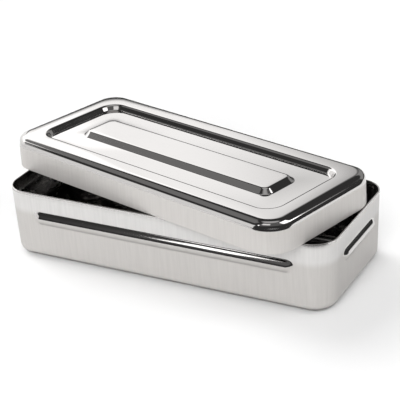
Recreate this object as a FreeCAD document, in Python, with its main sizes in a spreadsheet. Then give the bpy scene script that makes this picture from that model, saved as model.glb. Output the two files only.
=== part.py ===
"""Instrument tray with a lift-off lid, both pressed from thin stainless steel sheet.

Frame: origin at the centre of the tray's underside, +X along the tray, +Z up, millimetres.
The lid is stored lying askew across the tray, with its skirt flat on the tray's rim.
"""
import FreeCAD, Part
import math
import os

import Sketcher

DIMENSIONS = {
    # the sheet both pieces are pressed from
    "sheet": 0.7,
    # tray, measured outside at the rim
    "tray_length": 200.0,
    "tray_width": 84.0,
    "tray_height": 41.5,
    "tray_corner": 14.0,
    "tray_draft": 1.7,
    "bottom_radius": 6.0,
    # ribs: round-ended beads whose axis lies inside the wall
    "rib_level": 26.5,
    "rib_radius": 5.7,
    "rib_inset": 3.95,
    "rib_half_height": 4.5,
    "long_rib": 160.0,
    "short_rib": 44.0,
    # lid, measured outside at the skirt's lower edge
    "lid_overhang": 1.4,
    "lid_height": 18.0,
    "lid_draft": 0.8,
    "lid_edge": 5.5,
    # sunken ring and raised panel in the lid's top
    "ring_border": 13.5,
    "ring_depth": 3.0,
    "ring_corner": 10.3,
    "ring_slope": 35.0,
    "panel_border": 30.0,
    "panel_rise": 2.8,
    "panel_corner": 6.3,
    "panel_slope": 47.0,
    "crease": 1.2,
    # where the lid lies on the tray
    "lid_yaw": -15.0,
    "lid_shift_along": -6.3,
    "lid_shift_across": 4.6,
}


# edges are told apart by height and reach to within this many millimetres
TOLERANCE = 1e-3


def make_sheet(doc):
    """Spreadsheet with one aliased cell per driving dimension."""
    sheet = doc.addObject("Spreadsheet::Sheet", "dims")
    for row, (alias, value) in enumerate(DIMENSIONS.items(), start=1):
        sheet.set(f"A{row}", alias)
        sheet.set(f"B{row}", str(value))
        sheet.setAlias(f"B{row}", alias)
    doc.recompute()
    return sheet


def origin_plane(body, role):
    for feature in body.Origin.OriginFeatures:
        if feature.Role == role:
            return feature
    raise ValueError(role)


def level_sketch(body, name, level):
    """Sketch parallel to the body's XY plane, at the height that the expression level gives."""
    sketch = body.newObject("Sketcher::SketchObject", name)
    sketch.AttachmentSupport = (origin_plane(body, "XY_Plane"), "")
    sketch.MapMode = "FlatFace"
    sketch.setExpression("AttachmentOffset.Base.z", level)
    return sketch


def bind(sketch, constraint, name, expression):
    """Add a dimension to a sketch, name it and let the expression drive it."""
    index = sketch.addConstraint(constraint)
    sketch.renameConstraint(index, name)
    sketch.setExpression(f"Constraints.{name}", expression)


def quarter_arc(x, y, radius, start):
    """Quarter circle about x, y, drawn anticlockwise from the start angle in degrees."""
    circle = Part.Circle(FreeCAD.Vector(x, y, 0), FreeCAD.Vector(0, 0, 1), radius)
    return Part.ArcOfCircle(circle, math.radians(start), math.radians(start + 90))


def rounded_rectangle(sketch, length, width, corner):
    """Closed rounded rectangle about the sketch's origin; the sizes are expressions."""
    half_x, half_y, r = 60.0, 30.0, 5.0
    x, y = half_x - r, half_y - r
    arcs = [quarter_arc(x, -y, r, -90), quarter_arc(x, y, r, 0),
            quarter_arc(-x, y, r, 90), quarter_arc(-x, -y, r, 180)]
    outline = []
    for side in range(4):
        outline.append(Part.LineSegment(arcs[side - 1].EndPoint, arcs[side].StartPoint))
        outline.append(arcs[side])
    sketch.addGeometry(outline, False)
    for piece in range(8):
        sketch.addConstraint(Sketcher.Constraint("Tangent", piece, 2, (piece + 1) % 8, 1))
    for line in (0, 4):
        sketch.addConstraint(Sketcher.Constraint("Horizontal", line))
    for line in (2, 6):
        sketch.addConstraint(Sketcher.Constraint("Vertical", line))
    for arc in (1, 3, 5):
        sketch.addConstraint(Sketcher.Constraint("Equal", arc, arc + 2))
    sketch.addConstraint(Sketcher.Constraint("Symmetric", 1, 3, 5, 3, -1, 1))
    bind(sketch, Sketcher.Constraint("DistanceX", 6, 1, 2, 2, 2 * half_x), "length", length)
    bind(sketch, Sketcher.Constraint("DistanceY", 0, 1, 4, 2, 2 * half_y), "width", width)
    bind(sketch, Sketcher.Constraint("Radius", 1, r), "corner", corner)


def prism(body, kind, name, sketch, depth, draft, downwards):
    """Pad or pocket of a sketch with drafted walls; depth and draft are expressions."""
    feature = body.newObject(kind, name)
    feature.Profile = sketch
    feature.Reversed = downwards
    feature.setExpression("Length", depth)
    feature.setExpression("TaperAngle", draft)
    return feature


def round_edges(body, name, base, radius, find_level, outline):
    """Fillet the edges of base that lie flat at one height, on or inside a sketched outline.

    find_level picks the height from the bounding box of base.
    """
    body.Document.recompute()
    level = find_level(base.Shape.BoundBox)
    limit = outline.Shape.BoundBox
    limit.enlarge(TOLERANCE)
    names = []
    for number, edge in enumerate(base.Shape.Edges, start=1):
        box = edge.BoundBox
        flat = abs(box.ZMin - level) < TOLERANCE and abs(box.ZMax - level) < TOLERANCE
        inside = box.XMax < limit.XMax and box.YMax < limit.YMax
        inside = inside and box.XMin > limit.XMin and box.YMin > limit.YMin
        if flat and inside:
            names.append(f"Edge{number}")
    fillet = body.newObject("PartDesign::Fillet", name)
    fillet.Base = (base, names)
    fillet.setExpression("Radius", radius)
    return fillet


def rib(body, name, span, radius, offset_axis, offset, turn):
    """Round-ended bead along a wall: a capsule whose axis lies inside the wall.

    span names the cell with the bead's visible length; radius and offset are expressions.
    """
    sketch = level_sketch(body, f"{name}_outline", "dims.rib_level")
    sketch.AttachmentOffset = FreeCAD.Placement(FreeCAD.Vector(), FreeCAD.Rotation(turn, 0, 0))
    sketch.setExpression(f"AttachmentOffset.Base.{offset_axis}", offset)
    reach = DIMENSIONS[span] / 2 - DIMENSIONS["rib_half_height"]
    r = DIMENSIONS["rib_radius"]
    right = quarter_arc(reach, 0, r, 0)
    left = quarter_arc(-reach, 0, r, 90)
    axis_line = Part.LineSegment(left.EndPoint, right.StartPoint)
    crest = Part.LineSegment(right.EndPoint, left.StartPoint)
    sketch.addGeometry([axis_line, right, crest, left], False)
    sketch.addConstraint(Sketcher.Constraint("Horizontal", 2))
    sketch.addConstraint(Sketcher.Constraint("Coincident", 0, 2, 1, 1))
    sketch.addConstraint(Sketcher.Constraint("Tangent", 1, 2, 2, 1))
    sketch.addConstraint(Sketcher.Constraint("Tangent", 2, 2, 3, 1))
    sketch.addConstraint(Sketcher.Constraint("Coincident", 3, 2, 0, 1))
    sketch.addConstraint(Sketcher.Constraint("Equal", 1, 3))
    sketch.addConstraint(Sketcher.Constraint("PointOnObject", 1, 3, -1))
    sketch.addConstraint(Sketcher.Constraint("PointOnObject", 1, 1, -1))
    sketch.addConstraint(Sketcher.Constraint("Symmetric", 0, 1, 0, 2, -1, 1))
    bind(sketch, Sketcher.Constraint("Radius", 1, r), "bead", radius)
    bind(sketch, Sketcher.Constraint("DistanceX", 3, 3, 1, 3, 2 * reach), "run",
         f"dims.{span} - 2 * dims.rib_half_height")
    bead = body.newObject("PartDesign::Revolution", name)
    bead.Profile = sketch
    bead.ReferenceAxis = (sketch, ["H_Axis"])
    bead.Angle = 360
    return bead


def inset_outline(body, name, level, outset, inset, corner):
    """Rounded rectangle parallel to the tray's rim, moved outwards by outset and inwards by inset."""
    sketch = level_sketch(body, name, level)
    rounded_rectangle(sketch, f"dims.tray_length + 2 * ({outset} - ({inset}))",
                      f"dims.tray_width + 2 * ({outset} - ({inset}))", corner)
    return sketch


def tray_form(doc, name, skin):
    """Solid with the tray's outer surface moved inwards by skin, an expression."""
    body = doc.addObject("PartDesign::Body", name)
    rim = inset_outline(body, f"{name}_rim", "dims.tray_height", "0", skin, f"dims.tray_corner - {skin}")
    block = prism(body, "PartDesign::Pad", f"{name}_walls", rim, f"dims.tray_height - {skin}",
                  "-dims.tray_draft", True)
    round_edges(body, f"{name}_bottom_edge", block, f"dims.bottom_radius - {skin}", lambda box: box.ZMin, rim)
    across = "dims.tray_width / 2 - dims.rib_inset"
    along = "dims.tray_length / 2 - dims.rib_inset"
    radius = f"dims.rib_radius - {skin}"
    rib(body, f"{name}_front_rib", "long_rib", radius, "y", f"-({across})", 0)
    rib(body, f"{name}_back_rib", "long_rib", radius, "y", across, 0)
    rib(body, f"{name}_left_rib", "short_rib", radius, "x", f"-({along})", 90)
    rib(body, f"{name}_right_rib", "short_rib", radius, "x", along, 90)
    return body


def lid_form(doc, name, skin):
    """Solid with the lid's outer surface moved inwards by skin, an expression."""
    body = doc.addObject("PartDesign::Body", name)
    skirt = inset_outline(body, f"{name}_skirt", "0", "dims.lid_overhang", skin,
                          f"dims.tray_corner + dims.lid_overhang - {skin}")
    block = prism(body, "PartDesign::Pad", f"{name}_cover", skirt, f"dims.lid_height - {skin}",
                  "-dims.lid_draft", False)
    round_edges(body, f"{name}_top_edge", block, f"dims.lid_edge - {skin}", lambda box: box.ZMax, skirt)

    # the ring's outer step down: the same sloping wall, moved square to itself by skin
    top = f"dims.lid_height - {skin}"
    shift = f"{skin} * (tan(dims.ring_slope * 1 deg) - 1 / cos(dims.ring_slope * 1 deg))"
    ring = inset_outline(body, f"{name}_ring", top, "dims.lid_overhang",
                         f"dims.ring_border + {shift}", f"dims.ring_corner - {shift}")
    step = prism(body, "PartDesign::Pocket", f"{name}_ring_step", ring, "dims.ring_depth",
                 "-dims.ring_slope", False)
    outer_crease = f"dims.crease - {skin}"
    inner_crease = f"dims.crease + {skin}"
    step = round_edges(body, f"{name}_ring_brow", step, outer_crease, lambda box: box.ZMax, ring)

    # the panel's step back up, then the two creases at the foot of the ring
    floor = f"{top} - dims.ring_depth"
    shift = f"{skin} * (1 / cos(dims.panel_slope * 1 deg) - tan(dims.panel_slope * 1 deg))"
    panel = inset_outline(body, f"{name}_panel", floor, "dims.lid_overhang",
                          f"dims.panel_border + {shift}", f"dims.panel_corner - {shift}")
    step = prism(body, "PartDesign::Pad", f"{name}_panel_step", panel, "dims.panel_rise",
                 "-dims.panel_slope", False)
    drop = DIMENSIONS["ring_depth"]
    rise = DIMENSIONS["panel_rise"]
    step = round_edges(body, f"{name}_panel_brow", step, outer_crease,
                       lambda box: box.ZMax - drop + rise, panel)
    round_edges(body, f"{name}_creases", step, inner_crease, lambda box: box.ZMax - drop, ring)
    return body


def sheet_piece(doc, name, form):
    """The sheet left between a form's outer surface and the same form one skin smaller."""
    piece = doc.addObject("Part::Cut", name)
    piece.Base = form(doc, f"{name}_outside", "0")
    piece.Tool = form(doc, f"{name}_inside", "dims.sheet")
    piece.Label = name
    return piece


def lay_lid_askew(lid):
    """Put the lid on the tray's rim, turned and shifted so that it lies across the opening."""
    lid.Placement = FreeCAD.Placement(FreeCAD.Vector(), FreeCAD.Rotation(FreeCAD.Vector(0, 0, 1), 1))
    lid.setExpression("Placement.Rotation.Angle", "dims.lid_yaw")
    lid.setExpression("Placement.Base.x", "dims.lid_shift_along")
    lid.setExpression("Placement.Base.y", "dims.lid_shift_across")
    lid.setExpression("Placement.Base.z", "dims.tray_height")


def check(doc, pieces):
    """Stop if a feature failed or a piece is not one valid solid of an even sheet."""
    for thing in doc.Objects:
        if "Invalid" in thing.State or "Error" in thing.State:
            raise RuntimeError(f"{thing.Name} is {thing.State}")
    for piece in pieces:
        shape = piece.Shape
        if shape.isNull() or not shape.isValid() or len(shape.Solids) != 1:
            raise RuntimeError(f"{piece.Label} is not one valid solid")
        print(piece.Label, f"volume {shape.Volume:.0f} mm3, mean sheet {2 * shape.Volume / shape.Area:.3f} mm")


def main():
    doc = FreeCAD.newDocument("instrument_tray")
    make_sheet(doc)
    tray = sheet_piece(doc, "tray", tray_form)
    lid = sheet_piece(doc, "lid", lid_form)
    lay_lid_askew(lid)
    doc.recompute()
    check(doc, [tray, lid])
    os.makedirs("parts", exist_ok=True)
    for piece in (tray, lid):
        piece.Shape.exportStep(f"parts/{piece.Label}.step")


main()
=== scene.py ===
"""Instrument tray with its lid lying askew on it: pressed steel, studio floor, light and camera."""
import math

import bpy
from mathutils import Matrix, Vector


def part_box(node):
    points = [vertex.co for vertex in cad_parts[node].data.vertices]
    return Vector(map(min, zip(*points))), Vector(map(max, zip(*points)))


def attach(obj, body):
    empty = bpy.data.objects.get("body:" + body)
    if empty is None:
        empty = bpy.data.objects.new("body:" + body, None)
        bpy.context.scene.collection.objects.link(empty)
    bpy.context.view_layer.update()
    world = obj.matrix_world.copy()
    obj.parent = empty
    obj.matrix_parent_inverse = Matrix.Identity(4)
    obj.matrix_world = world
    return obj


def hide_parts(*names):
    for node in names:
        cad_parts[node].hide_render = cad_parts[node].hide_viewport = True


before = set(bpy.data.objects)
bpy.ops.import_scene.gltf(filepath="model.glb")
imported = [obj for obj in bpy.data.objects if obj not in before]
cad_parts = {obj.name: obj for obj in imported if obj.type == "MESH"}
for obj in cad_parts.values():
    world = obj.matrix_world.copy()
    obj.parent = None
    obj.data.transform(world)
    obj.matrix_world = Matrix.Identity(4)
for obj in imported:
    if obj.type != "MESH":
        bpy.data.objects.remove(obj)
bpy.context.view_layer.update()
MM = 0.001

# ---------------------------------------------------------------- sizes of the pressings
SHEET = 0.7 * MM
EDGE_ROUNDING = 0.2 * MM
# how far a section goes on past its last rounding, before the flat cap
SUPPORT = 0.6 * MM

TRAY_HALF = (100.0 * MM, 42.0 * MM)
TRAY_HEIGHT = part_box("tray")[1][2]
TRAY_CORNER = 14.0 * MM
TRAY_DRAFT = math.radians(1.7)
BOTTOM_RADIUS = 6.0 * MM
RIB_LEVEL = 26.6 * MM
RIB_PROUD = 1.74 * MM
# half the length of the rib's straight part, on the long walls and on the short ones
RIB_REACH = (75.5 * MM, 17.5 * MM)
RIB_HALF_HEIGHT = 6.0 * MM
# how far above and below that the mesh still follows the rib
RIB_MARGIN = 1.0 * MM
# radii of the rib's flanks and of its blends into the wall, above and below its crown
FLANK_RADII = (10.0 * MM, 18.0 * MM)
FOOT_BLENDS = (0.3 * MM, 0.5 * MM)
CROWN_SLOPES = (math.radians(17.0), math.radians(20.0))
CROWN_BLEND = 0.3 * MM
RIB_END_RADIUS = 5.0 * MM
RIB_END_LIFT = 10.0 * MM
# spacing of the tray's mesh: up the wall, close about the crown and wider on the flanks
CROWN_HALF = 1.0 * MM
CROWN_STEP = 0.12 * MM
FLANK_STEP = 0.3 * MM
# and along it, close where the ribs end, on the long walls and on the short ones
RIB_ENDS = ((68.0 * MM, 84.0 * MM), (10.0 * MM, 26.0 * MM))
RIB_END_STEP = 0.5 * MM
WALL_STEP = 8.0 * MM

LID_HALF = (101.39 * MM, 43.39 * MM)
LID_LOW, LID_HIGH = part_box("lid")
LID_HEIGHT = LID_HIGH[2] - LID_LOW[2]
LID_YAW = math.radians(-15.0)
LID_DRAFT = math.radians(0.8)
LID_EDGE = 5.5 * MM
RING_BORDER = 13.5 * MM
RING_DEPTH = 3.0 * MM
RING_RUN = 2.1 * MM
PANEL_BORDER = 30.0 * MM
PANEL_RISE = 2.8 * MM
PANEL_RUN = 3.0 * MM
BROW = 2.2 * MM
CREASE = 1.2 * MM
# distance in from the skirt's lower edge and corner radius of the lid's outline there, in mm
LID_CORNERS = [
    (0.0, 15.4), (0.3, 15.4), (1.2, 13.0), (3.0, 10.2), (6.2, 9.2),
    (12.6, 11.2), (16.8, 7.0), (28.5, 7.8), (34.5, 1.8),
]
# places along the lid's straight sides, as shares of their half length
LID_SHARES = [-1.0, -0.5, 0.0, 0.5, 1.0]

# ---------------------------------------------------------------- camera and floor
# azimuth from -Y towards +X, elevation and roll, in degrees
CAMERA_AZIMUTH = 29.06
CAMERA_ELEVATION = 25.53
CAMERA_ROLL = -3.46
CAMERA_AIM = Vector((3.2, 2.7, 31.8)) * MM
CAMERA_DISTANCE = 744.6 * MM
CAMERA_LENS = 118.82
# the floor's half width, and how far towards the camera its two halves meet, in metres
FLOOR_REACH = 8.0
FLOOR_SPLIT = 0.155

# ---------------------------------------------------------------- paint
# brushing gives way to polish while the height of the outward normal rises from one to the other
POLISH_FROM = 0.05
POLISH_TO = 0.14
# the same for surfaces that face down, which get painted shade and keep only the share SHADE of their
# tint, standing in for the shaded floor they mirror
SHADE_FROM = -0.4
SHADE_TO = -0.62
SHADE = 0.42
# painted light: the tray's wall is painted lighter above its ribs, where it mirrors the bright floor
# further off, and this is how far up the change takes
PAINTED_LIGHT_RISE = 5.0 * MM
POLISHED_TINT = (0.58, 0.565, 0.555)
BRUSHED_TINT = (0.47, 0.454, 0.438)
# a lighter copy of the brushed tint, for painted light on the wall above the ribs
UPPER_PAINTED_LIGHT_TINT = (0.57, 0.561, 0.551)
# painted light: the lid's brushed tint is a lighter copy of the tray's, so that the lid's walls come
# out brighter
LID_PAINTED_LIGHT_TINT = (0.515, 0.496, 0.478)
# painted shade: the inner surfaces' tint is darkened, standing in for the shade under the lid
INSIDE_PAINTED_SHADE_TINT = (0.38, 0.37, 0.36)
BLACK = (0.0, 0.0, 0.0)
# shares of the tint from the darkest to the lightest places: clouding of the polish, brush strokes
CLOUDING = (0.97, 1.02)
STROKE_SHARES = (0.89, 1.11)
# the strokes run up the wall, so their noise is drawn out along Z
STROKE_STRETCH = (1.0, 1.0, 0.04)
STROKE_SCALE = 900.0
STROKE_DEPTH = 0.05 * MM
STROKE_STRENGTH = 0.15
# the brushed walls scatter most of their light, so they mirror only in part
SATIN_METALLIC = 0.15
# roughness, from the smoothest places to the roughest
POLISH = (0.05, 0.08)
SATIN = (0.45, 0.55)
INSIDE = (0.22, 0.3)
# the range that most of a noise texture's values lie in
NOISE_RANGE = (0.3, 0.7)
FLOOR_TINTS = ((0.88, 0.88, 0.88), (0.9, 0.9, 0.9))

# ---------------------------------------------------------------- what the steel mirrors
# name: azimuth from, to and softness, elevation from, to and softness, brightness;
# azimuth 0 is along +Y and 90 along +X, all angles in degrees
STUDIO = {
    "reflector": (264, 325, 5, 22, 37, 2, 1.9),
    "reflector_edge": (300, 329.5, 18, 21, 40, 2, 1.4),
    "wall_left": (253, 318, 2, -5, 27, 2, 1.2),
    "horizon_left": (223, 253, 3, -5, 20, 3, 1.0),
    "dim_left": (244, 290, 10, 39, 54, 4, 0.19),
    "dim_front": (80, 200, 20, 20, 60, 10, 0.1),
    "high_left": (160, 200, 5, 42, 55, 4, 1.1),
    "edge_right": (56, 62, 6, 26, 31, 2, 1.2),
    "behind": (350, 395, 8, 14, 32, 5, 0.3),
    "ceiling": (0, 360, 0, 72, 90, 8, 0.5),
}
# brightness that is added everywhere
DARK = 0.045


# ---------------------------------------------------------------- sections through the sheet
# A section is a path of (inset, height), inset measured inwards from the piece's outline.
def heading(start, end):
    return math.atan2(end[1] - start[1], end[0] - start[0])


def filleted(corners, arc_step=math.radians(6.0)):
    """Samples (place, normal) along a path with rounded corners (inset, height, radius).

    The normal points to the left of the direction of travel.
    """
    def left_of(angle):
        return Vector((-math.sin(angle), math.cos(angle)))

    first = heading(corners[0], corners[1])
    samples = [(Vector(corners[0][:2]), left_of(first))]
    for before, here, after in zip(corners, corners[1:], corners[2:]):
        arrive = heading(before, here)
        turn = (heading(here, after) - arrive + math.pi) % (2 * math.pi) - math.pi
        arm = math.copysign(here[2], turn)
        back = Vector((math.cos(arrive), math.sin(arrive))) * here[2] * math.tan(abs(turn) / 2)
        centre = Vector(here[:2]) - back + left_of(arrive) * arm
        steps = max(2, round(abs(turn) / arc_step))
        for step in range(steps + 1):
            normal = left_of(arrive + turn * step / steps)
            samples.append((centre - normal * arm, normal))
    last = heading(corners[-2], corners[-1])
    samples.append((Vector(corners[-1][:2]), left_of(last)))
    return samples


def around_cut_edge(lower, upper, level, direction):
    """Rounds the sheet's cut edge, at that level, between its lower and its upper surface."""
    toward = math.copysign(EDGE_ROUNDING, upper[0] - lower[0])
    base = level - direction * EDGE_ROUNDING
    angles = [math.radians(angle) for angle in (0, 30, 60, 90)]
    steps = [(toward * (1 - math.cos(a)), direction * EDGE_ROUNDING * math.sin(a)) for a in angles]
    rising = [Vector((lower[0] + across, base + up)) for across, up in steps]
    falling = [Vector((upper[0] - across, base + up)) for across, up in reversed(steps)]
    return rising + falling


def surface_pair(samples):
    """The sheet's outer surface and its inner one, a sheet's thickness behind it."""
    outer = [place for place, _ in samples]
    inner = [place - normal * SHEET for place, normal in samples]
    return outer, inner


# ---------------------------------------------------------------- outlines round the piece
def spread(end, near, far, step, step_between):
    """Places from -end to end, symmetrical, with a spacing of their own between near and far."""
    places = [0.0]
    for stop, spacing in ((near, step), (far, step_between), (end, step)):
        start = places[-1]
        parts = math.ceil((stop - start) / spacing)
        places.extend(start + (stop - start) * part / parts for part in range(1, parts + 1))
    return [-place for place in reversed(places[1:])] + places


def outline(half, corner, shares, corner_steps=16):
    """Anticlockwise points (across, along, side, straight) of a rounded rectangle.

    side is the side's number, 0 at -Y and 1 at +X, and straight is False on the corner after it.
    along runs along the side and across out from the middle, and shares place the points on the
    straights, for the long sides and the short ones.
    """
    points = []
    for side in range(4):
        reach = half[side % 2] - corner
        across = half[1 - side % 2]
        points.extend((across, share * reach, side, True) for share in shares[side % 2])
        for step in range(1, corner_steps):
            angle = math.radians(90.0) * step / corner_steps
            inwards = corner * (1 - math.cos(angle))
            points.append((across - inwards, reach + corner * math.sin(angle), side, False))
    return points


def turned(across, along, side, height):
    """Point of side number `side` in the piece's own axes."""
    angle = math.radians(90.0) * side
    sine, cosine = math.sin(angle), math.cos(angle)
    return Vector((along * cosine + across * sine, along * sine - across * cosine, height))


def in_scene(name, data):
    """New object with that data, linked to the scene."""
    item = bpy.data.objects.new(name, data)
    bpy.context.scene.collection.objects.link(item)
    return item


def pressed(name, section, loop_at, inside):
    """Closed mesh through the loops loop_at(index, place) of a section, with a flat cap at each end.

    inside is the range of rows on the piece's inner surface, which take its second material.
    """
    loops = [loop_at(index, place) for index, place in enumerate(section)]
    count = len(loops[0])
    vertices = [point for loop in loops for point in loop]
    faces = [tuple(reversed(range(count)))]
    for row in range(len(loops) - 1):
        for column in range(count):
            after = (column + 1) % count
            low, high = row * count, (row + 1) * count
            faces.append((low + column, low + after, high + after, high + column))
    faces.append(tuple(range((len(loops) - 1) * count, len(loops) * count)))
    mesh = bpy.data.meshes.new(name)
    mesh.from_pydata(vertices, [], faces)
    mesh.shade_smooth()
    for row in inside:
        for column in range(count):
            mesh.polygons[1 + row * count + column].material_index = 1
    mesh.polygons[0 if 0 in inside else -1].material_index = 1
    return in_scene(name, mesh)


# ---------------------------------------------------------------- the tray
def soft_max(first, second, blend):
    """The larger of two values, with a rounded change from one to the other."""
    overlap = max(blend - abs(first - second), 0.0)
    return max(first, second) + overlap * overlap / (4 * blend)


def rib_proud(along, height, reach, behind):
    """How far the rib stands out from the tray's outline, for a surface that far behind its outside.

    Its two flanks are wide arcs that meet in a rounded crown.
    """
    past = max(abs(along) - reach, 0.0)
    level = RIB_LEVEL + past ** 2 / (2 * RIB_END_LIFT)
    flanks = []
    for side, radius, slope in zip((1.0, -1.0), FLANK_RADII, CROWN_SLOPES):
        centre = level - side * radius * math.sin(slope)
        remaining = (radius - behind) ** 2 - (height - centre) ** 2
        flanks.append(math.sqrt(max(remaining, 0.0)) - radius * math.cos(slope))
    end = past ** 2 / (2 * RIB_END_RADIUS)
    return RIB_PROUD - soft_max(-flanks[0], -flanks[1], CROWN_BLEND) - end


def ribbed_wall(bottom, top):
    """Rows of the straight wall about the rib's level, always listed upwards.

    bottom and top are any two points on the wall's line.
    """
    heights = spread(RIB_HALF_HEIGHT + RIB_MARGIN, CROWN_HALF, RIB_HALF_HEIGHT, CROWN_STEP, FLANK_STEP)
    rise = top[1] - bottom[1]
    return [bottom.lerp(top, (RIB_LEVEL + height - bottom[1]) / rise) for height in heights]


def tray_section():
    """Section of the tray, as its outer surface up to the rim and then its inner one.

    Known fault: the inner wall's rows should go down but are listed upwards, so the inner surface
    folds back over itself there and closes off the rib's groove.
    """
    foot = TRAY_HEIGHT * math.tan(TRAY_DRAFT)
    middle = foot + BOTTOM_RADIUS + SUPPORT
    samples = filleted([(middle, 0.0, 0.0), (foot, 0.0, BOTTOM_RADIUS), (0.0, TRAY_HEIGHT, 0.0)])
    outer, inner = surface_pair(samples)
    outer.pop()
    inner.pop()
    edge = around_cut_edge(Vector((0.0, 0.0)), Vector((SHEET, 0.0)), TRAY_HEIGHT, 1.0)
    half_edge = len(edge) // 2
    lower = outer + ribbed_wall(outer[-1], edge[0]) + edge[:half_edge]
    upper = edge[half_edge:] + ribbed_wall(edge[-1], inner[-1]) + inner[::-1]
    return lower, upper


def make_tray():
    lower, upper = tray_section()
    section = lower + upper
    straights = [half - TRAY_CORNER for half in TRAY_HALF]
    shares = [[place / end for place in spread(end, near, far, WALL_STEP, RIB_END_STEP)]
              for end, (near, far) in zip(straights, RIB_ENDS)]

    def loop_at(index, place):
        inset, height = place
        behind = 0.0 if index < len(lower) else SHEET
        half = [side - inset for side in TRAY_HALF]
        points = []
        for across, along, side, straight in outline(half, TRAY_CORNER - inset, shares):
            if straight and abs(height - RIB_LEVEL) < RIB_HALF_HEIGHT + RIB_MARGIN:
                proud = rib_proud(along, height, RIB_REACH[side % 2], behind)
                blend = FOOT_BLENDS[0 if height > RIB_LEVEL else 1]
                across = soft_max(across, TRAY_HALF[1 - side % 2] + proud, blend)
            points.append(turned(across, along, side, height))
        return points

    return pressed("Tray_pressing", section, loop_at, range(len(lower), len(section) - 1))


# ---------------------------------------------------------------- the lid
def lid_corner(inset):
    """Corner radius of the lid's outline at a distance in from the skirt's lower edge."""
    place = min(max(inset / MM, LID_CORNERS[0][0]), LID_CORNERS[-1][0])
    for (start, first), (end, last) in zip(LID_CORNERS, LID_CORNERS[1:]):
        if place <= end:
            return (first + (last - first) * (place - start) / (end - start)) * MM
    return LID_CORNERS[-1][1] * MM


def lid_section():
    """Section of the lid, and how many of its points are on the inner surface, which come first."""
    lean = LID_HEIGHT * math.tan(LID_DRAFT)
    ring_level = LID_HEIGHT - RING_DEPTH
    panel_level = ring_level + PANEL_RISE
    panel_edge = PANEL_BORDER + PANEL_RUN
    samples = filleted([
        (0.0, 0.0, 0.0),
        (lean, LID_HEIGHT, LID_EDGE),
        (RING_BORDER, LID_HEIGHT, BROW),
        (RING_BORDER + RING_RUN, ring_level, CREASE),
        (PANEL_BORDER, ring_level, CREASE),
        (panel_edge, panel_level, BROW),
        (panel_edge + BROW + SUPPORT, panel_level, 0.0),
    ])
    outer, inner = surface_pair(samples)
    edge = around_cut_edge(Vector((SHEET, 0.0)), Vector((0.0, 0.0)), 0.0, -1.0)
    return inner[:0:-1] + edge + outer[1:], len(inner)


def make_lid():
    section, inside = lid_section()

    def loop_at(_, place):
        inset, height = place
        half = [side - inset for side in LID_HALF]
        points = outline(half, lid_corner(inset), [LID_SHARES, LID_SHARES])
        return [turned(across, along, side, height) for across, along, side, _ in points]

    lid = pressed("Lid_pressing", section, loop_at, range(inside))
    middle = (LID_LOW + LID_HIGH) / 2
    place = Matrix.Translation((middle[0], middle[1], LID_LOW[2]))
    lid.data.transform(place @ Matrix.Rotation(LID_YAW, 4, "Z"))
    return lid


# ---------------------------------------------------------------- materials
def node_material(name):
    material = bpy.data.materials.new(name)
    material.use_nodes = True
    nodes = material.node_tree.nodes
    return material, nodes, material.node_tree.links, nodes["Principled BSDF"]


def feed(links, socket, value):
    """Gives a socket its value: a number, a tint or another node's output."""
    if isinstance(value, bpy.types.NodeSocket):
        links.new(value, socket)
    elif isinstance(value, (int, float)):
        socket.default_value = value
    else:
        socket.default_value = (*value, 1.0)


def math_node(nodes, links, operation, *values):
    node = nodes.new("ShaderNodeMath")
    node.operation = operation
    for socket, value in zip(node.inputs, values):
        feed(links, socket, value)
    return node.outputs["Value"]


def remapped(nodes, links, value, source, target, kind="LINEAR"):
    """Value carried over from one range to another, and held at the target's ends."""
    remap = nodes.new("ShaderNodeMapRange")
    remap.interpolation_type = kind
    for name, number in zip(("From Min", "From Max", "To Min", "To Max"), (*source, *target)):
        remap.inputs[name].default_value = number
    links.new(value, remap.inputs["Value"])
    return remap.outputs["Result"]


def blended(nodes, links, factor, first, second, kind="RGBA"):
    """Value between two, by a factor; each is a tint or another node's output."""
    mix = nodes.new("ShaderNodeMix")
    mix.data_type = kind
    links.new(factor, mix.inputs["Factor"])
    feed(links, mix.inputs["A"], first)
    feed(links, mix.inputs["B"], second)
    return mix.outputs["Result"]


def noise(nodes, links, coordinate, stretch, scale, detail=2.0):
    """Noise texture in the object's own axes, stretched by its own mapping."""
    mapping = nodes.new("ShaderNodeMapping")
    mapping.inputs["Scale"].default_value = stretch
    links.new(coordinate, mapping.inputs["Vector"])
    texture = nodes.new("ShaderNodeTexNoise")
    texture.inputs["Scale"].default_value = scale
    texture.inputs["Detail"].default_value = detail
    links.new(mapping.outputs["Vector"], texture.inputs["Vector"])
    return texture.outputs["Fac"]


def height_part(nodes, links, vector):
    """The Z part of a vector."""
    split = nodes.new("ShaderNodeSeparateXYZ")
    links.new(vector, split.inputs["Vector"])
    return split.outputs["Z"]


def varied(nodes, links, pattern, tint, shares):
    """Tint that follows a pattern between two shares of itself."""
    darker, lighter = [[channel * share for channel in tint] for share in shares]
    return blended(nodes, links, pattern, darker, lighter)


def clouded_steel(name, tint, roughness):
    """Mirror steel with faint clouding and wiping marks, with what is needed to build on it."""
    material, nodes, links, shader = node_material(name)
    shader.inputs["Metallic"].default_value = 1.0
    coordinate = nodes.new("ShaderNodeTexCoord").outputs["Object"]
    cloud = noise(nodes, links, coordinate, (1.0, 1.0, 1.0), 18.0)
    links.new(varied(nodes, links, cloud, tint, CLOUDING), shader.inputs["Base Color"])
    smear = noise(nodes, links, coordinate, (1.0, 1.0, 2.0), 60.0, 4.0)
    links.new(remapped(nodes, links, smear, NOISE_RANGE, roughness), shader.inputs["Roughness"])
    return material, nodes, links, shader, coordinate


# the inner surfaces' steel, darkened with painted shade
def inside_steel(name):
    return clouded_steel(name, INSIDE_PAINTED_SHADE_TINT, INSIDE)[0]


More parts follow.
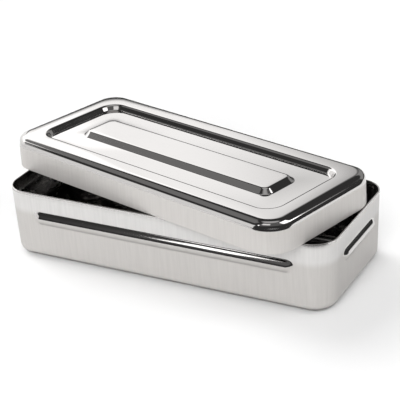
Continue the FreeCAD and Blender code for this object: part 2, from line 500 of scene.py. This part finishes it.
def brushed_colour_with_painted_shading(nodes, links, strokes, coordinate, facing, tints):
    """Brushed tints below and above the level of the ribs, with painted light where the upper tint is
    lighter and painted shade where the surface faces down.
    """
    level = height_part(nodes, links, coordinate)
    # painted light: the change to the upper tint, lighter on the tray's wall above the ribs
    above = remapped(nodes, links, level, (RIB_LEVEL, RIB_LEVEL + PAINTED_LIGHT_RISE), (0.0, 1.0), "SMOOTHSTEP")
    lower, upper = [varied(nodes, links, strokes, tint, STROKE_SHARES) for tint in tints]
    brushing = blended(nodes, links, above, lower, upper)
    # painted shade where the surface faces down
    shade = remapped(nodes, links, facing, (SHADE_TO, SHADE_FROM), (SHADE, 1.0), "SMOOTHSTEP")
    return blended(nodes, links, shade, BLACK, brushing)


def stroke_bump(nodes, links, strokes, polished):
    """Fine grooves of the brushing, which fade out where the steel is polished."""
    bump = nodes.new("ShaderNodeBump")
    bump.inputs["Distance"].default_value = STROKE_DEPTH
    links.new(strokes, bump.inputs["Height"])
    strength = remapped(nodes, links, polished, (0.0, 1.0), (STROKE_STRENGTH, 0.0))
    links.new(strength, bump.inputs["Strength"])
    return bump.outputs["Normal"]


def satin_steel(name, *tints):
    """Steel brushed on its upright walls and polished on its roundings and its top.

    The brushed tints are for below and above the level of the tray's ribs; a lighter upper tint is
    painted light, and surfaces that face down get painted shade.
    """
    material, nodes, links, shader, coordinate = clouded_steel(name, POLISHED_TINT, POLISH)
    facing = height_part(nodes, links, nodes.new("ShaderNodeNewGeometry").outputs["Normal"])
    polished = remapped(nodes, links, facing, (POLISH_FROM, POLISH_TO), (0.0, 1.0), "SMOOTHSTEP")
    strokes = noise(nodes, links, coordinate, STROKE_STRETCH, STROKE_SCALE, 3.0)

    colour = brushed_colour_with_painted_shading(nodes, links, strokes, coordinate, facing, tints)
    roughness = remapped(nodes, links, strokes, NOISE_RANGE, SATIN)
    for socket, brushed, kind in (("Base Color", colour, "RGBA"), ("Roughness", roughness, "FLOAT")):
        mirror = shader.inputs[socket].links[0].from_socket
        links.new(blended(nodes, links, polished, brushed, mirror, kind), shader.inputs[socket])
    metallic = remapped(nodes, links, polished, (0.0, 1.0), (SATIN_METALLIC, 1.0))
    links.new(metallic, shader.inputs["Metallic"])
    links.new(stroke_bump(nodes, links, strokes, polished), shader.inputs["Normal"])
    return material


def floor_material():
    material, nodes, links, shader = node_material("Studio_floor")
    shader.inputs["Roughness"].default_value = 0.9
    shader.inputs["Specular IOR Level"].default_value = 0.0
    coordinate = nodes.new("ShaderNodeTexCoord").outputs["Object"]
    cloud = noise(nodes, links, coordinate, (1.0, 1.0, 1.0), 3.0)
    links.new(blended(nodes, links, cloud, *FLOOR_TINTS), shader.inputs["Base Color"])
    return material


# ---------------------------------------------------------------- floor, light and camera
def make_floor():
    """Floor in two coplanar halves; the half towards the camera isn't mirrored in the steel."""
    material = floor_material()
    towards = math.radians(CAMERA_AZIMUTH)
    side = Vector((math.cos(towards), math.sin(towards), 0.0)) * FLOOR_REACH
    near = Vector((math.sin(towards), -math.cos(towards), 0.0))
    halves = (("Floor", -FLOOR_REACH, FLOOR_SPLIT), ("Floor_front", FLOOR_SPLIT, FLOOR_REACH))
    for name, start, end in halves:
        corners = [near * end - side, near * end + side, near * start + side, near * start - side]
        mesh = bpy.data.meshes.new(name)
        mesh.from_pydata(corners, [], [(0, 1, 2, 3)])
        mesh.materials.append(material)
        floor = in_scene(name, mesh)
        floor.visible_glossy = name == "Floor"


def direction_to(azimuth, elevation):
    """Unit vector; azimuth 0 points along +Y and 90 along +X, both angles in degrees."""
    around, up = math.radians(azimuth), math.radians(elevation)
    return Vector((math.sin(around) * math.cos(up), math.cos(around) * math.cos(up), math.sin(up)))


def add_light(name, data, azimuth, elevation, distance):
    """Light of that data in that direction, turned towards the object."""
    light = in_scene(name, data)
    toward = direction_to(azimuth, elevation)
    light.location = toward * distance
    light.rotation_mode = "QUATERNION"
    light.rotation_quaternion = toward.to_track_quat("Z", "Y")
    return light


def softbox(name, azimuth, elevation, width, height, radiance, distance=2.0):
    """Rectangular light whose size is given in degrees as seen from the object."""
    data = bpy.data.lights.new(name, "AREA")
    data.shape = "RECTANGLE"
    data.size = 2 * distance * math.tan(math.radians(width) / 2)
    data.size_y = 2 * distance * math.tan(math.radians(height) / 2)
    data.energy = radiance * math.pi * data.size * data.size_y
    return add_light(name, data, azimuth, elevation, distance)


def scattered_light(name, azimuth, elevation, strength, width):
    """Broad soft light that the steel doesn't mirror; width is its spread in degrees."""
    data = bpy.data.lights.new(name, "SUN")
    data.energy = strength
    data.angle = math.radians(width)
    add_light(name, data, azimuth, elevation, 3.0).visible_glossy = False


def make_lights():
    scattered_light("Sky", 0.0, 90.0, 0.3, 170.0)
    scattered_light("Key", 164.0, 30.0, 2.45, 50.0)
    scattered_light("Back", 286.0, 45.0, 1.12, 34.0)
    softbox("Softbox_left", 206.9, 28.0, 5.0, 11.0, 2.6)
    softbox("Softbox_right", 78.0, 41.0, 31.0, 27.0, 2.2, 1.0)


def window(nodes, links, value, low, high, softness):
    """1 while value is between low and high, falling smoothly to 0 over the softness outside."""
    middle, half = (low + high) / 2, (high - low) / 2
    apart = math_node(nodes, links, "SUBTRACT", value, middle)
    distance = math_node(nodes, links, "ABSOLUTE", apart)
    return remapped(nodes, links, distance, (half, half + softness), (1.0, 0.0), "SMOOTHSTEP")


def ray_angles(nodes, links):
    """Azimuth and elevation of the world's direction, in degrees."""
    split = nodes.new("ShaderNodeSeparateXYZ")
    links.new(nodes.new("ShaderNodeTexCoord").outputs["Generated"], split.inputs["Vector"])
    x, y, z = split.outputs
    degrees = 180 / math.pi
    around = math_node(nodes, links, "MULTIPLY", math_node(nodes, links, "ARCTAN2", x, y), degrees)
    up = math_node(nodes, links, "MULTIPLY", math_node(nodes, links, "ARCSINE", z), degrees)
    return around, up


def make_world():
    """Dark studio with pale reflectors; plain white where it is looked at directly."""
    world = bpy.data.worlds.new("Studio")
    bpy.context.scene.world = world
    world.use_nodes = True
    nodes, links = world.node_tree.nodes, world.node_tree.links
    around, up = ray_angles(nodes, links)

    patches = []
    for west, east, soft, low, high, blur, brightness in STUDIO.values():
        offset = math_node(nodes, links, "SUBTRACT", around, (west + east) / 2)
        wrapped = math_node(nodes, links, "WRAP", offset, 180.0, -180.0)
        reach = (east - west) / 2
        sideways = window(nodes, links, wrapped, -reach, reach, max(soft, 0.01))
        upright = window(nodes, links, up, low, high, blur)
        patch = math_node(nodes, links, "MULTIPLY", sideways, upright)
        patches.append(math_node(nodes, links, "MULTIPLY", patch, brightness))
    brightest = patches[0]
    for patch in patches[1:]:
        brightest = math_node(nodes, links, "MAXIMUM", brightest, patch)
    studio = math_node(nodes, links, "ADD", brightest, DARK)

    seen = nodes.new("ShaderNodeLightPath").outputs["Is Camera Ray"]
    light = math_node(nodes, links, "MAXIMUM", studio, seen)
    links.new(light, nodes["Background"].inputs["Strength"])
    nodes["Background"].inputs["Color"].default_value = (1.0, 1.0, 1.0, 1.0)


def make_camera():
    azimuth, elevation = math.radians(CAMERA_AZIMUTH), math.radians(CAMERA_ELEVATION)
    roll = math.radians(CAMERA_ROLL)
    back = Vector((math.sin(azimuth) * math.cos(elevation),
                   -math.cos(azimuth) * math.cos(elevation),
                   math.sin(elevation)))
    level = Vector((math.cos(azimuth), math.sin(azimuth), 0.0))
    above = back.cross(level)
    right = level * math.cos(roll) + above * math.sin(roll)
    up = above * math.cos(roll) - level * math.sin(roll)
    data = bpy.data.cameras.new("Camera")
    data.sensor_width = 36.0
    data.lens = CAMERA_LENS
    data.clip_start, data.clip_end = 0.01, 100.0
    camera = in_scene("Camera", data)
    camera.rotation_mode = "QUATERNION"
    camera.rotation_quaternion = Matrix((right, up, back)).transposed().to_quaternion()
    camera.location = CAMERA_AIM + back * CAMERA_DISTANCE
    bpy.context.scene.camera = camera


# ---------------------------------------------------------------- the object and its stage
tray = make_tray()
tray.data.materials.append(satin_steel("Tray_steel", BRUSHED_TINT, UPPER_PAINTED_LIGHT_TINT))
tray.data.materials.append(inside_steel("Tray_steel_inside"))
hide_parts("tray")
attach(tray, "tray")

lid = make_lid()
lid.data.materials.append(satin_steel("Lid_steel", LID_PAINTED_LIGHT_TINT, LID_PAINTED_LIGHT_TINT))
lid.data.materials.append(inside_steel("Lid_steel_inside"))
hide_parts("lid")
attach(lid, "lid")

make_floor()
make_world()
make_lights()
make_camera()
bpy.context.scene.view_settings.view_transform = "Standard"
